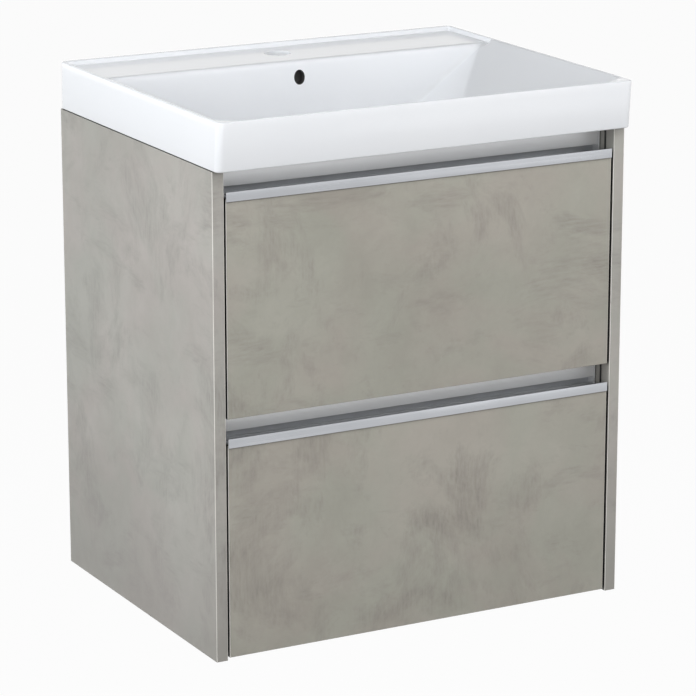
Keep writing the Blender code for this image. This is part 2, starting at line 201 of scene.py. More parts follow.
def makeTrowelPrint():
    # clouds, and patches where a trowel has dragged the skim upright or across
    group, takes, gives = newGroup("trowelPrint", [
        ("Point", "Vector", None), ("Patch Scale", "Float", 10.0)], [
        ("Cloud", "Float"), ("Drag", "Float"), ("Rub", "Float"), ("Tint", "Float")])
    point = takes["Point"]
    layers = [(noise(group, point, *layer), weight) for *layer, weight in trowelMarks["clouds"]]
    group.links.new(remap(group, addUp(group, *layers), *trowelMarks["cloudRange"]), gives["Cloud"])

    def dragged(start, grain, reach, stretch):
        moved = addNode(group, "ShaderNodeVectorMath", {0: point, 1: start}, operation="ADD").outputs[0]
        patch = noise(group, stretched(group, moved, stretch), takes["Patch Scale"], 9.0, 0.68, 0.5)
        lines = noise(group, stretched(group, moved, grain), 1.0, 3.0, 0.6)
        lines = remap(group, lines, *trowelMarks["lineRange"])
        return mathNode(group, "MULTIPLY", remap(group, patch, *reach), lines)

    upright = dragged(*trowelMarks["upright"])
    across = dragged(*trowelMarks["across"])
    group.links.new(mathNode(group, "MAXIMUM", upright, across), gives["Drag"])
    group.links.new(dragged(*trowelMarks["rubbed"]), gives["Rub"])
    group.links.new(noise(group, point, *trowelMarks["tint"]), gives["Tint"])
    return group


def makeFineGrain():
    group, takes, gives = newGroup("fineGrain", [
        ("Point", "Vector", None), ("Grain Scale", "Float", 900.0)], [
        ("Height", "Float"), ("Tone", "Float")])
    grain = noise(group, takes["Point"], takes["Grain Scale"], 3.0, 0.6)
    slow = noise(group, takes["Point"], 60.0, 2.0, 0.5)
    group.links.new(grain, gives["Height"])
    group.links.new(addUp(group, (grain, 0.5), (slow, 0.5)), gives["Tone"])
    return group


def makeDrawnLines():
    # the fine lines that brushing or drawing leaves along metal
    group, takes, gives = newGroup("drawnLines", [
        ("Point", "Vector", None), ("Stretch", "Vector", (4.0, 900.0, 900.0))], [
        ("Height", "Float"), ("Tone", "Float")])
    both = {0: takes["Point"], 1: takes["Stretch"]}
    scaled = addNode(group, "ShaderNodeVectorMath", both, operation="MULTIPLY").outputs[0]
    lines = noise(group, scaled, 1.0, 4.0, 0.65)
    slow = noise(group, takes["Point"], 14.0, 2.0, 0.5)
    group.links.new(lines, gives["Height"])
    group.links.new(addUp(group, (lines, 0.6), (slow, 0.4)), gives["Tone"])
    return group


trowelPrint = makeTrowelPrint()
fineGrain = makeFineGrain()
drawnLines = makeDrawnLines()


# finishes

concreteDecor = {
    "light": (0.442, 0.422, 0.372),
    "dark": (0.326, 0.310, 0.268),
    "drag": (0.262, 0.245, 0.215),
    "rub": (0.445, 0.430, 0.385),
    "pink": (0.402, 0.366, 0.326),
    "green": (0.372, 0.378, 0.322),
    "dragDepth": 0.82,
    "rubDepth": 0.35,
    "tintDepth": 0.45,
    "footShadeRange": (-0.36, -0.56),    # heights over which the side panels' colour darkens, painted shade for the light falling off lower down
    "gapReach": 0.006,              # how near two boards are where painted shade darkens the colour
    "gapRange": (0.50, 0.90),
    "gapShadeColour": (0.012, 0.011, 0.010),
    "roughness": (0.50, 0.62),
    "fronts": (0.975, 0.975, 0.975),    # each sheet's share of red, green and blue; the side panels' lighter, bluer share is painted light
    "panels": (1.05, 1.06, 1.12),
    "panelFootShade": 0.5,
}


def paintedGapShade(tree, colour):
    # painted shade: the colour darkens where two boards nearly meet
    reach = {"Distance": concreteDecor["gapReach"]}
    near = addNode(tree, "ShaderNodeAmbientOcclusion", reach, samples=6).outputs["AO"]
    clear = remap(tree, near, *concreteDecor["gapRange"])
    return blendColour(tree, clear, concreteDecor["gapShadeColour"], colour)


def concreteFinish(name, shade, foot=0.0):
    tones = ("light", "dark", "drag", "rub", "pink", "green")
    decor = {tone: tuple(a * b for a, b in zip(concreteDecor[tone], shade)) for tone in tones}
    material, tree, shader = startFinish(name, {"IOR": 1.46})
    point = objectPoint(tree)
    marks = placeGroup(tree, trowelPrint, {"Point": point})
    hue = blendColour(tree, remap(tree, marks["Tint"], 0.40, 0.60), decor["pink"], decor["green"])
    colour = blendColour(tree, marks["Cloud"], decor["dark"], decor["light"])
    colour = blendColour(tree, concreteDecor["tintDepth"], colour, hue)
    for mark, key in (("Rub", "rub"), ("Drag", "drag")):
        depth = mathNode(tree, "MULTIPLY", marks[mark], concreteDecor[key + "Depth"])
        colour = blendColour(tree, depth, colour, decor[key])
    # painted shade: the side panels' colour darkens towards their foot, where less light falls
    if foot:
        height = addNode(tree, "ShaderNodeSeparateXYZ", {"Vector": point}).outputs["Z"]
        low = remap(tree, height, *concreteDecor["footShadeRange"])
        colour = blendColour(tree, mathNode(tree, "MULTIPLY", low, foot), colour, decor["drag"])
    tree.links.new(paintedGapShade(tree, colour), shader.inputs["Base Color"])
    grain = placeGroup(tree, fineGrain, {"Point": point, "Grain Scale": 1100.0})
    sheen = remap(tree, grain["Tone"], 0.35, 0.65, *concreteDecor["roughness"])
    tree.links.new(sheen, shader.inputs["Roughness"])
    bumpInto(tree, shader, grain["Height"], 0.10, 0.0004)
    return material


glaze = {
    "shaded": (0.830, 0.848, 0.878),
    "clear": (0.862, 0.877, 0.902),
    "roughness": (0.055, 0.10),
    "shader": {"IOR": 1.52, "Coat Weight": 0.35, "Coat Roughness": 0.02},
    "pinScale": 260.0,
    "rippleScale": 22.0,
}
boreShadeTones = {
    "dark": (0.055, 0.054, 0.052),
    "light": (0.10, 0.098, 0.094),
    "roughness": (0.7, 0.9),
}


def glazeFinish():
    material, tree, shader = startFinish("whiteGlaze", glaze["shader"])
    point = objectPoint(tree)
    slow = noise(tree, point, 7.0, 3.0, 0.5)
    pin = noise(tree, point, glaze["pinScale"], 2.0, 0.5)
    tree.links.new(blendColour(tree, slow, glaze["shaded"], glaze["clear"]), shader.inputs["Base Color"])
    tree.links.new(remap(tree, pin, 0.3, 0.7, *glaze["roughness"]), shader.inputs["Roughness"])
    ripple = noise(tree, point, glaze["rippleScale"], 2.0, 0.4)
    ripple = mathNode(tree, "ADD", ripple, mathNode(tree, "MULTIPLY", pin, 0.05))
    bumpInto(tree, shader, ripple, 0.08, 0.0012)
    return material


def boreShadeFinish():
    # painted shade: the bore's unglazed body coloured near black for its unlit inside; seen only where a
    # bore runs inside it
    material, tree, shader = startFinish("boreShadeClay", {"IOR": 1.45})
    grain = placeGroup(tree, fineGrain, {"Point": objectPoint(tree), "Grain Scale": 1500.0})
    colour = blendColour(tree, grain["Tone"], boreShadeTones["dark"], boreShadeTones["light"])
    tree.links.new(colour, shader.inputs["Base Color"])
    tree.links.new(remap(tree, grain["Tone"], 0.3, 0.7, *boreShadeTones["roughness"]), shader.inputs["Roughness"])
    bumpInto(tree, shader, grain["Height"], 0.3, 0.0005)
    return material


def metalFinish(name, bright, dull, roughness, stretch, bump=0.06, metallic=1.0):
    material, tree, shader = startFinish(name, {"Metallic": metallic})
    lines = placeGroup(tree, drawnLines, {"Point": objectPoint(tree), "Stretch": stretch})
    colour = blendColour(tree, remap(tree, lines["Tone"], 0.35, 0.65), dull, bright)
    sheen = remap(tree, lines["Tone"], 0.3, 0.7, roughness + 0.05, roughness - 0.05)
    tree.links.new(colour, shader.inputs["Base Color"])
    tree.links.new(sheen, shader.inputs["Roughness"])
    bumpInto(tree, shader, lines["Height"], bump, 0.0002)
    return material


def grainyFinish(name, colour, roughness, grainScale, bump, ior=1.49, depth=0.9, spread=0.05):
    # moulded plastic, powder coat and board all have a fine even grain
    material, tree, shader = startFinish(name, {"IOR": ior})
    grain = placeGroup(tree, fineGrain, {"Point": objectPoint(tree), "Grain Scale": grainScale})
    tone = remap(tree, grain["Tone"], 0.3, 0.7)
    darker = tuple(channel * depth for channel in colour)
    sheen = remap(tree, grain["Tone"], 0.3, 0.7, roughness - spread, roughness + spread)
    tree.links.new(blendColour(tree, tone, darker, colour), shader.inputs["Base Color"])
    tree.links.new(sheen, shader.inputs["Roughness"])
    bumpInto(tree, shader, grain["Height"], bump, 0.0003)
    return material


alongProfile = (3.0, 1400.0, 1400.0)   # brushing that runs the length of an extrusion
spangle = (160.0, 12.0, 160.0)         # zinc coat, drawn out along the sheet
board = {"roughness": 0.55, "grainScale": 700.0, "bump": 0.12, "ior": 1.46, "depth": 0.93, "spread": 0.06}

finishes = {
    "concrete": concreteFinish("concreteDecor", concreteDecor["fronts"]),
    # painted light: the side panels get a lighter, bluer copy of the decor, with painted shade towards their
    # foot
    "concreteSideLit": concreteFinish("concreteDecorSideLit", concreteDecor["panels"], concreteDecor["panelFootShade"]),
    "carcass": grainyFinish("carcassMelamine", (0.36, 0.345, 0.31), **board),
    "drawerBoard": grainyFinish("drawerMelamine", (0.43, 0.43, 0.42), **board),
    "glaze": glazeFinish(),
    # painted shade inside the overflow's bore
    "boreShadeClay": boreShadeFinish(),
    "aluminium": metalFinish("satinAluminium", (0.56, 0.575, 0.605), (0.50, 0.515, 0.54), 0.30,
                             alongProfile),
    # painted light and shade: a brighter copy of the aluminium for the channel's face, a darker one for its
    # fold
    "channelFaceLit": metalFinish("paintedLitChannel", (0.95, 0.96, 0.97), (0.91, 0.92, 0.93), 0.42,
                               alongProfile, 0.05, 0.38),
    "channelFoldPaintedShade": metalFinish("satinChannelPaintedShade", (0.66, 0.68, 0.705), (0.60, 0.615, 0.64), 0.40,
                                    alongProfile, 0.05, 0.50),
    "zinc": metalFinish("zincSteel", (0.66, 0.67, 0.68), (0.52, 0.53, 0.55), 0.36, spangle),
    "coatedSteel": grainyFinish("anthraciteCoat", (0.085, 0.089, 0.094), 0.42, 1300.0, 0.22),
    "cap": grainyFinish("lightCap", (0.84, 0.85, 0.86), 0.42, 1600.0, 0.15),
    "greyPlastic": grainyFinish("greyPlastic", (0.30, 0.31, 0.32), 0.45, 1300.0, 0.15),
    # painted highlight for the boards' eased front corners
    "edgeHighlight": grainyFinish("paintedEdgeHighlight", (0.86, 0.84, 0.79), 0.5, 1600.0, 0.15),
    "seal": grainyFinish("blackSeal", (0.012, 0.012, 0.012), 0.62, 1600.0, 0.15),
}
print("finishes made:", len(finishes))


# mesh helpers

def addPiece(name, mesh, finish, body, angle=32):
    piece = bpy.data.objects.new(name, mesh)
    bpy.context.scene.collection.objects.link(piece)
    mesh.materials.append(finishes[finish])
    mesh.shade_smooth()
    mesh.set_sharp_from_angle(angle=math.radians(angle))
    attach(piece, body)
    return piece


def bodyOf(node):
    return frame["nodes"][node]["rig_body"]


def ease(bm, edges, width):
    shape = {"segments": 3, "affect": "EDGES", "profile": 0.5, "clamp_overlap": True}
    bmesh.ops.bevel(bm, geom=edges, offset=width, **shape)


def softened(node, finish, edge, flat=1.0):
    # the frame's own solid with its corners eased
    bm = bmesh.new()
    bm.from_mesh(frame["nodes"][node].data)
    bmesh.ops.remove_doubles(bm, verts=bm.verts, dist=0.000002)
    bmesh.ops.dissolve_limit(bm, angle_limit=math.radians(flat), verts=bm.verts, edges=bm.edges)
    sharp = [e for e in bm.edges if e.is_manifold and e.calc_face_angle(0) > math.radians(20)]
    ease(bm, sharp, edge)
    mesh = bpy.data.meshes.new(node + "_eased")
    bm.to_mesh(mesh)
    bm.free()
    piece = addPiece(node + "_eased", mesh, finish, bodyOf(node), 25)
    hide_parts(node)
    return piece


def addTurned(bm, profile, place, facing, stretch=(1.0, 1.0), sink=None, segments=32):
    # a closed solid of revolution from (radius, height) pairs, foot first
    turn = Vector(facing).to_track_quat("Z", "Y").to_matrix().to_4x4()
    matrix = Matrix.Translation(place) @ turn
    rings = []
    for radius, height in profile:
        ring = []
        for i in range(segments):
            x = radius * math.cos(2 * math.pi * i / segments)
            y = radius * math.sin(2 * math.pi * i / segments)
            z = height - (sink(x, y) if sink else 0)
            ring.append(bm.verts.new(matrix @ Vector((x * stretch[0], y * stretch[1], z))))
        rings.append(ring)
    for low, high in zip(rings, rings[1:]):
        for i in range(segments):
            j = (i + 1) % segments
            bm.faces.new((low[i], low[j], high[j], high[i]))
    bm.faces.new(list(reversed(rings[0])))
    bm.faces.new(rings[-1])


# washbasin

basinShape = {
    "rim": 0.005,
    "wall": 0.009,
    "slopeRun": 1.45,       # run of the sloping walls for each unit of drop
    "backEdge": 0.1145,     # where the tap deck ends
    "backRun": 0.10,
    "bowlDepth": 0.0997,
    "deckDrop": 0.0063,
    "backLip": 0.008,
    "deckEnd": 0.1245,
    "foot": 0.0057,         # how far the front leans back at its lower edge
    "cornerRound": 0.009,
    "outerRound": 0.0020,
    "footRound": 0.0026,
    "innerRound": 0.0014,
    "deckRound": 0.0045,
    "creaseRound": 0.006,
    "bowlRound": 0.016,
    "deckCorner": 0.003,
    "underCorner": 0.003,
    "footEase": 0.002,
    "underBlend": 0.004,
    "mesh": 0.0027,
}
underside = {
    "skin": 0.001,          # extra thickness of the outer walls
    "bossDrop": 0.022,
    # half width, centre's depth, half depth and drop below the bowl's floor
    "duct": (0.021, 0.104, 0.0105, 0.020),
    "sump": (0.020, 0.178, 0.084, 0.0195),
    "ease": 0.002,
}
basinLow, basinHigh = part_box("washbasin")
basinTop = basinHigh.z
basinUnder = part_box("side_panel_left")[1].z + 0.0003  # the basin rests this much above the panels
basinHalf = 0.300
basinDepth = -basinLow.y
skirtDrop = basinTop - basinUnder


def roundUnion(a, b, r):
    return np.maximum(r, np.minimum(a, b)) - np.hypot(np.maximum(r - a, 0), np.maximum(r - b, 0))


def roundCut(a, b, r):
    return np.minimum(-r, np.maximum(a, b)) + np.hypot(np.maximum(r + a, 0), np.maximum(r + b, 0))


def bowlSpace(x, d, z):
    # distance to the bowl's inner wall: below zero in the bowl's air
    s = basinShape
    tilt = math.hypot(1, s["slopeRun"])
    sides = (np.abs(x) - basinHalf + s["rim"] - s["slopeRun"] * z) / tilt
    front = (d - basinDepth + s["rim"] - s["slopeRun"] * z) / tilt
    back = (s["backEdge"] - s["backRun"] * z - d) / math.hypot(1, s["backRun"])
    floor = -s["bowlDepth"] - z
    bowl = roundCut(sides, front, s["bowlRound"])
    bowl = roundCut(bowl, back, s["creaseRound"])
    return roundCut(bowl, floor, s["bowlRound"])


def airAbove(x, d, z):
    s = basinShape
    deck = roundCut(np.abs(x) - basinHalf + s["rim"], s["backLip"] - d, s["deckCorner"])
    deck = roundCut(deck, -s["deckDrop"] - z, s["innerRound"])
    deck = roundCut(deck, d - s["deckEnd"], s["innerRound"])
    air = roundUnion(bowlSpace(x, d, z), deck, s["deckRound"])
    air = roundUnion(air, -z, s["innerRound"])
    return roundUnion(air, insideOutline(x, d), s["outerRound"])


def insideOutline(x, d):
    # how far in from the basin's rounded outline, seen from above
    r = basinShape["cornerRound"]
    qx = np.abs(x) - basinHalf + r
    qd = np.abs(d - basinDepth / 2) - basinDepth / 2 + r
    return r - np.hypot(np.maximum(qx, 0), np.maximum(qd, 0)) - np.minimum(np.maximum(qx, qd), 0)


def skirtShare(z):
    # how far down the skirt a height lies, from 0 at the rim to 1 at the foot
    return np.clip(-z / skirtDrop, 0, 1)


def airBelow(x, d, z):
    s = basinShape
    inset = s["wall"] + underside["skin"]
    lean = s["foot"] * skirtShare(z)
    box = np.maximum(np.abs(x) - basinHalf + inset, inset - d)
    box = np.maximum(box, d - basinDepth + inset + lean)
    box = roundCut(box, z + s["deckDrop"] + s["wall"], s["underCorner"])
    air = roundUnion(box, z + skirtDrop, s["footEase"])
    air = roundUnion(air, insideOutline(x, d), s["footRound"])
    air = roundCut(air, s["wall"] - bowlSpace(x, d, z), s["underBlend"])
    floor = -s["bowlDepth"]
    reach = np.hypot(x, d - drainPlace["depth"])
    solids = [np.maximum(reach - drainPlace["boss"], floor - underside["bossDrop"] - z)]
    for part in ("duct", "sump"):
        half, middle, deep, drop = underside[part]
        sides = np.maximum(np.abs(x) - half, np.abs(d - middle) - deep)
        solids.append(np.maximum(sides, floor - drop - z))
    for solid in solids:
        air = roundCut(air, -solid, underside["ease"])
    return air


tapPlace = {"depth": 0.052, "radius": 0.0175, "ease": 0.0012, "deep": 0.03, "clear": 0.02}
drainPlace = {
    "depth": 0.262,
    "radius": 0.023,
    "boss": 0.036,
    "seat": 0.0335,
    "seatDrop": 0.003,
    "seatEase": 0.0014,
    "chamfer": 0.0006,
    "ringIn": 0.002,
    "ringRise": 0.0008,
    "deep": 0.05,
    "clear": 0.01,
}
eyePlace = {
    "drop": 0.0292,
    "radius": 0.0080,
    "tall": 1.25,           # height over width
    "ease": 0.0011,
    "deep": 0.013,
    "clear": 0.01,
}
basinGrid = {
    "near": (0.0003, 0.0006, 0.0010, 0.0015, 0.0022),   # rows set close to each curve's start
    "clear": 0.0026,        # how far the even rows keep from those
    "least": 0.00018,
    "within": 0.9998,       # keeps the outermost columns just inside the outline
    "halvings": 34,
}


def gridLines(low, high, stations, step):
    near = sorted([0.0, *basinGrid["near"], *(-n for n in basinGrid["near"])])
    steps = round((high - low) / step)
    lines = [low + (high - low) * i / steps for i in range(steps + 1)]
    close = [s + n for s in stations for n in near if low < s + n < high]
    clear = basinGrid["clear"]
    lines = [v for v in lines if all(abs(v - s) > clear for s in stations) or v in (low, high)]
    kept = []
    for v in sorted(lines + close):
        if not kept or v - kept[-1] > basinGrid["least"]:
            kept.append(v)
    return np.array(kept)


def surfaceHeight(space, x, d, low, high, risingAir):
    # the height at which each column passes from air to glaze
    lo = np.full_like(x, low)
    hi = np.full_like(x, high)
    for halving in range(basinGrid["halvings"]):
        middle = (lo + hi) / 2
        air = space(x, d, middle) < 0
        up = air if risingAir else ~air
        lo = np.where(up, lo, middle) if risingAir else np.where(air, middle, lo)
        hi = np.where(up, middle, hi) if risingAir else np.where(air, hi, middle)
    return (lo + hi) / 2


def roundedPlan(x, d):
    # squeezes the grid's square corners into the outline's round ones
    r = basinShape["cornerRound"]
    side = np.sign(x)
    far = np.sign(d - basinDepth / 2)
    p = np.clip((np.abs(x) - basinHalf + r) / r, 0, 1)
    q = np.clip((np.abs(d - basinDepth / 2) - basinDepth / 2 + r) / r, 0, 1)
    both = (p > 0) & (q > 0)
    px = p * np.sqrt(1 - q * q / 2)
    qd = q * np.sqrt(1 - p * p / 2)
    xRound = np.where(both, side * (basinHalf - r + px * r), x)
    dRound = np.where(both, basinDepth / 2 + far * (basinDepth / 2 - r + qd * r), d)
    return xRound, dRound


def basinMesh():
    s = basinShape
    inset = s["wall"] + underside["skin"]
    walls = (0, s["rim"], inset)
    sideWalls = [side * (basinHalf - wall) for side in (-1, 1) for wall in walls]
    backCurve = [s["backEdge"] + n for n in (0, 0.003, 0.006, 0.009)]
    frontWall = [basinDepth - wall for wall in walls]
    across = gridLines(-basinHalf, basinHalf, sideWalls, s["mesh"])
    along = gridLines(0, basinDepth, [0, s["backLip"], inset, *backCurve, *frontWall], s["mesh"])
    x, d = np.meshgrid(across, along)
    x, d = roundedPlan(x, d)
    xIn = x * basinGrid["within"]
    dIn = basinDepth / 2 + (d - basinDepth / 2) * basinGrid["within"]
    top = surfaceHeight(airAbove, xIn, dIn, -s["bowlDepth"] - 0.005, 0.001, True)
    under = surfaceHeight(airBelow, xIn, dIn, -s["bowlDepth"] - 0.025, -0.002, False)
    grow = (basinHigh.x - basinHalf) / basinHalf

    def points(z):
        lean = s["foot"] * skirtShare(z) * (d / basinDepth)
        return np.stack([x * (1 + grow * skirtShare(z)), -(d - lean), basinTop + z], axis=-1).reshape(-1, 3)

    verts = np.concatenate([points(top), points(under)])
    rows, columns = x.shape
    count = rows * columns
    faces = []
    for r in range(rows - 1):
        for c in range(columns - 1):
            a = r * columns + c
            b, e, f = a + 1, a + columns + 1, a + columns
            faces.append((a, f, e, b))
            faces.append((count + a, count + b, count + e, count + f))
    ring = [c for c in range(columns)] + [r * columns + columns - 1 for r in range(1, rows)]
    ring += [(rows - 1) * columns + c for c in range(columns - 2, -1, -1)]
    ring += [r * columns for r in range(rows - 2, 0, -1)]
    for one, two in zip(ring, ring[1:] + ring[:1]):
        faces.append((one, two, count + two, count + one))
    mesh = bpy.data.meshes.new("washbasin_glazed")
    mesh.from_pydata(verts.tolist(), [], faces)
    mesh.validate()
    return mesh


def turnedCutter(name, profile, place, facing=(0, 0, 1), tall=1.0):
    # a tool for the boolean cuts; the walls that it leaves get the near-black painted shade of a bore's
    # inside
    bm = bmesh.new()
    addTurned(bm, profile, place, facing, (1.0, tall), segments=72)
    bmesh.ops.recalc_face_normals(bm, faces=bm.faces)
    for face in bm.faces:
        face.material_index = 1
    mesh = bpy.data.meshes.new(name)
    bm.to_mesh(mesh)
    bm.free()
    return bpy.data.objects.new(name, mesh)


def flare(radius, curl, steps=6):
    # the outward curve at a hole's mouth, from the straight wall to the face
    angles = [math.pi / 2 * i / steps for i in range(steps + 1)]
    return [(radius + curl * (1 - math.cos(a)), -curl + curl * math.sin(a)) for a in angles]


def cutFrom(piece, cutter, glazed=False):
    if glazed:
        for polygon in cutter.data.polygons:
            polygon.material_index = 0
    bpy.context.scene.collection.objects.link(cutter)
    change = piece.modifiers.new("cut", "BOOLEAN")
    change.operation = "DIFFERENCE"
    change.solver = "MANIFOLD"
    change.object = cutter
    graph = bpy.context.evaluated_depsgraph_get()
    mesh = bpy.data.meshes.new_from_object(piece.evaluated_get(graph))
    piece.modifiers.remove(change)
    piece.data = mesh
    bpy.data.objects.remove(cutter)


def boreProfile(hole):
    # straight wall, flared mouth, then on through the air above it
    radius, curl = hole["radius"], hole["ease"]
    return [(radius, -hole["deep"])] + flare(radius, curl) + [(radius + curl, hole["clear"])]


def drainProfile():
    # the bore, a chamfer, the ring that the waste sits on, and a flared mouth
    drain = drainPlace
    radius, seat, drop, chamfer = drain["radius"], drain["seat"], drain["seatDrop"], drain["chamfer"]
    bore = [(radius, -drain["deep"]), (radius, -drop - chamfer), (radius + chamfer, -drop)]
    ring = [(seat - drain["ringIn"], -drop), (seat - chamfer, -drop + drain["ringRise"])]
    return bore + ring + flare(seat, drain["seatEase"]) + [(seat + drain["seatEase"], drain["clear"])]


def makeWashbasin():
    s = basinShape
    mesh = basinMesh()
    piece = bpy.data.objects.new("washbasin_glazed", mesh)
    bpy.context.scene.collection.objects.link(piece)
    mesh.materials.append(finishes["glaze"])
    mesh.materials.append(finishes["boreShadeClay"])
    tapFoot = (0, -tapPlace["depth"], basinTop - s["deckDrop"])
    cutFrom(piece, turnedCutter("tapBore", boreProfile(tapPlace), tapFoot), glazed=True)
    drainFoot = (0, -drainPlace["depth"], basinTop - s["bowlDepth"])
    cutFrom(piece, turnedCutter("drainBore", drainProfile(), drainFoot), glazed=True)
    eye = eyePlace
    tilt = math.atan(s["backRun"])
    facing = (0, -math.cos(tilt), math.sin(tilt))
    eyeFoot = (0, -s["backEdge"] - s["backRun"] * eye["drop"], basinTop - eye["drop"])
    cutFrom(piece, turnedCutter("eyeBore", boreProfile(eye), eyeFoot, facing, eye["tall"]))
    piece.data.shade_smooth()
    piece.data.set_sharp_from_angle(angle=math.radians(38))
    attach(piece, "cabinet")
    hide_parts("washbasin")


makeWashbasin()
print("washbasin made")


# cabinet boards, profiles and hardware that keep the frame's own solids

easing = {
    "panel": 0.0011,
    "board": 0.0005,
    "side": 0.0005,
    "profile": 0.00035,
    "sheet": 0.0003,
    "cap": 0.0004,
}


def easeNodes():
    for side in ("left", "right"):
        softened("side_panel_" + side, "concreteSideLit", easing["panel"], flat=8)
        for level in ("top", "middle"):
            cap = "grip_channel_" + level + "_cap_" + side
            softened(cap, "cap", easing["cap"], flat=8)
        for kind in ("hanging_bracket_", "hanging_hook_"):
            softened(kind + side, "zinc", easing["sheet"])
    for level in ("upper", "lower"):
        softened(level + "_front_panel", "concrete", easing["panel"], flat=8)
        softened(level + "_handle_profile", "aluminium", easing["profile"])
        for side in ("left", "right"):
            softened(level + "_drawer_side_" + side, "coatedSteel", easing["side"])
            softened(level + "_front_bracket_" + side, "zinc", easing["sheet"])
            for member in ("cabinet", "middle", "drawer"):
                softened(level + "_runner_" + member + "_" + side, "zinc", easing["sheet"])
    for level in ("top", "middle"):
        softened("grip_channel_" + level, "channelFoldPaintedShade", easing["profile"])
        softened("front_rail_" + level, "carcass", easing["board"], flat=8)
    for node in ("bottom_panel", "rear_rail_bottom", "rear_rail_top"):
        softened(node, "carcass", easing["board"], flat=8)
    for node in ("upper_drawer_bottom", "upper_drawer_back_left", "upper_drawer_back_right",
                 "siphon_surround", "lower_drawer_bottom", "lower_drawer_back"):
        softened(node, "drawerBoard", easing["board"], flat=8)
    softened("wall_rail", "zinc", easing["sheet"])


def paintEdgeHighlights():
    # painted highlight: a light line on the eased front corners of each board, where the bevel catches the
    # light
    for node in ("side_panel_left", "side_panel_right", "upper_front_panel", "lower_front_panel"):
        mesh = bpy.data.objects[node + "_eased"].data
        mesh.materials.append(finishes["edgeHighlight"])
        for polygon in mesh.polygons:
            x, y, z = polygon.normal
            turned = abs(x) > 0.2 and y < -0.2
            if turned and abs(z) < 0.3:
                polygon.material_index = 1


def paintChannelLight():
    # painted light and shade: the face that the fingers pass gets a brighter copy of the aluminium than the
    # fold below it
    for level in ("top", "middle"):
        mesh = bpy.data.objects["grip_channel_" + level + "_eased"].data
        mesh.materials.append(finishes["channelFaceLit"])
        face = min(vertex.co.y for vertex in mesh.vertices)
        for polygon in mesh.polygons:
            foremost = polygon.center.y < face + easing["profile"] * 1.7
            if foremost and polygon.area > 0.004:
                polygon.material_index = 1


easeNodes()
paintEdgeHighlights()
paintChannelLight()
print("boards, profiles and hardware eased")


# small hardware

leftRight = ((-1, "left"), (1, "right"))
screw = {
    "radius": 0.0036,
    "rise": 0.0019,
    "armWidth": 0.16,       # half width and reach of the cross, in head radii
    "armReach": 0.56,
    "armDepth": 0.0011,
    "dome": 0.72,
    "sheet": 0.0014,        # gauge of the sheet that a head sits on
}
fixings = {
    "handleAcross": (-0.235, -0.08, 0.08, 0.235),
    "handleUp": 0.010,
    "bracketEnds": 0.014,   # from a bracket's top and bottom edges
    "bracketIn": 0.008,
    "bracketBack": 0.009,
    "backIn": 0.011,        # through the side's end into the drawer's back
    "backUp": 0.034,
    "backDown": 0.030,
    "runnerBack": (0.037, 0.133, 0.261, 0.363),
    "runnerDown": 0.0055,
}
cover = {
    "radius": 0.0085,
    "rise": 0.0011,
    "edge": (0.4, 0.8, 1.2, math.pi / 2),   # turns round the rim's curve
    "fromSide": 0.034,      # cam fitting's centre from the side panel
    "onBottom": (-0.10, -0.36),
    "oval": (0.85, 2.4),    # stretch of the covers on the drawer sides
    "ovalBack": 0.062,
    "ovalDown": 0.040,
}
clip = {
    "width": 0.030,
    "length": 0.046,
    "thick": 0.0100,
    "fromSide": 0.0255,
    "ease": 0.0012,
    "floorUp": 0.0017,      # the drawer bottom's underside, above the side's lower edge
    "behindFront": 0.0008,
}
tongue = {
    "start": 0.004,
    "half": 0.006,
    "length": 0.020,
    "drop": 0.0032,
    "ease": 0.0008,
    "ribs": 4,
    "ribStart": 0.003,
    "ribPitch": 0.0042,
    "ribHalf": 0.0045,
    "ribThick": 0.0018,
    "ribDrop": 0.0042,
    "ribEase": 0.0003,
}
bumper = {
    "profile": [(0.0042, 0.0), (0.0042, 0.0006), (0.0036, 0.0012), (0.0022, 0.0016), (0.0003, 0.0017)],
    "across": 0.262,
    "up": 0.0068,
}
thread = {
    "pitch": 0.0009,
    "core": 0.72,           # radii of the shank and of the thread's crest, in head radii
    "crest": 0.86,
    "share": 0.72,          # how much of the length is threaded
}


def crossSink(x, y):
    # depth of the driver's cross, whose walls and arm ends slope
    near = min(abs(x), abs(y)) / (screw["armWidth"] * screw["radius"])
    far = max(abs(x), abs(y)) / (screw["armReach"] * screw["radius"])
    return screw["armDepth"] * min(max(1.7 - near, 0), 1) * min(max((1.15 - far) * 4, 0), 1)


def addScrew(bm, place, facing):
    steps = 15
    profile = [(screw["radius"], -0.0001)]  # the foot is sunk a little into its seat
    for i in range(steps + 1):
        part = 1 - i / (steps + 0.4)
        profile.append((screw["radius"] * part, screw["rise"] * math.sqrt(1 - screw["dome"] * part ** 4)))
    addTurned(bm, profile, place, facing, sink=crossSink, segments=64)


def addCover(bm, place, facing, stretch=(1.0, 1.0)):
    radius, rise = cover["radius"], cover["rise"]
    step, curve = rise * 0.4, rise * 0.6
    rim = [(radius, 0.0), (radius, step)]
    rim += [(radius - curve * (1 - math.cos(a)), step + curve * math.sin(a)) for a in cover["edge"]]
    crown = [(radius * 0.5, rise * 1.04), (radius * 0.06, rise * 1.06)]
    addTurned(bm, rim + crown, place, facing, stretch)


def addBlock(bm, low, high, width):
    size = Matrix.Diagonal(Vector(high) - Vector(low)).to_4x4()
    middle = Matrix.Translation((Vector(high) + Vector(low)) / 2)
    made = bmesh.ops.create_cube(bm, size=1.0, matrix=middle @ size)
    edges = {edge for vert in made["verts"] for edge in vert.link_edges}
    ease(bm, list(edges), width)


def finishPiece(name, bm, finish, body, replaced=None):
    bmesh.ops.recalc_face_normals(bm, faces=bm.faces)
    mesh = bpy.data.meshes.new(name)
    bm.to_mesh(mesh)
    bm.free()
    piece = addPiece(name, mesh, finish, body)
    if replaced:
        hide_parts(replaced)
    return piece


